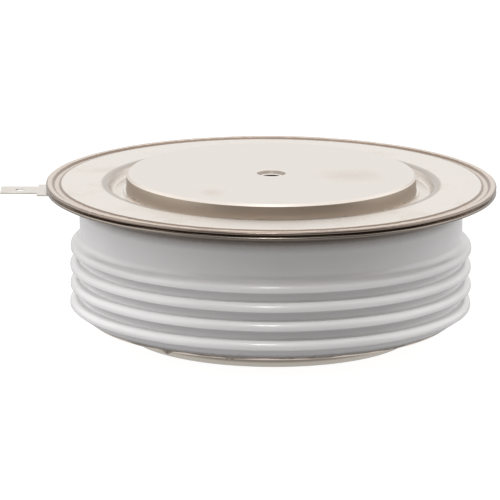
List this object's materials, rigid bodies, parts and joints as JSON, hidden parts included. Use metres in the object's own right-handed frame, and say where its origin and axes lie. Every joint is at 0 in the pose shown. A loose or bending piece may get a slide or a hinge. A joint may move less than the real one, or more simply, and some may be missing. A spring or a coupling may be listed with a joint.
{
  "type": "thyristor",
  "caption": "Disc thyristor: ribbed ceramic ring between two copper pole pieces, welded sheet rim with a side tab, and a sprung gate contact and silicon wafer inside.",
  "frame": {"origin": "centre of the anode contact face, which the part rests on", "axes": "+Z along the axis to the cathode contact face, -X along the cathode tab"},
  "size_m": [0.0804, 0.073, 0.0265],
  "materials": {
    "ceramic": "white glaze",
    "nickel_plate": "turned copper, satin nickel plate",
    "flange_sheet": "satin nickel plate",
    "tab_sheet": "bright tinned sheet",
    "filled_plastic": "moulded",
    "silver_foil": "rolled silver foil",
    "molybdenum": "lapped",
    "silicon": "lapped and metallised",
    "silicone": "cast",
    "silver_contact": "silver plated",
    "spring_steel": "drawn wire",
    "solder": "reflowed"
  },
  "bodies": {
    "root": {"ceramic_housing": "ceramic", "anode_pole": "nickel_plate", "anode_flange": "flange_sheet", "cathode_pole": "nickel_plate", "cathode_diaphragm": "flange_sheet", "cathode_weld_ring": "flange_sheet", "cathode_tab": "tab_sheet", "locating_ring": "filled_plastic", "anode_silver_shim": "silver_foil", "anode_moly_disc": "molybdenum", "silicon_wafer": "silicon", "wafer_edge_coating": "silicone", "cathode_moly_disc": "molybdenum", "cathode_silver_shim": "silver_foil", "gate_guide": "filled_plastic", "gate_pin": "silver_contact", "gate_spring": "spring_steel", "gate_cup": "filled_plastic", "gate_wire": "silver_contact", "gate_sleeve": "filled_plastic", "gate_tube": "tab_sheet", "gate_tube_seal": "solder"}
  },
  "joints": []
}
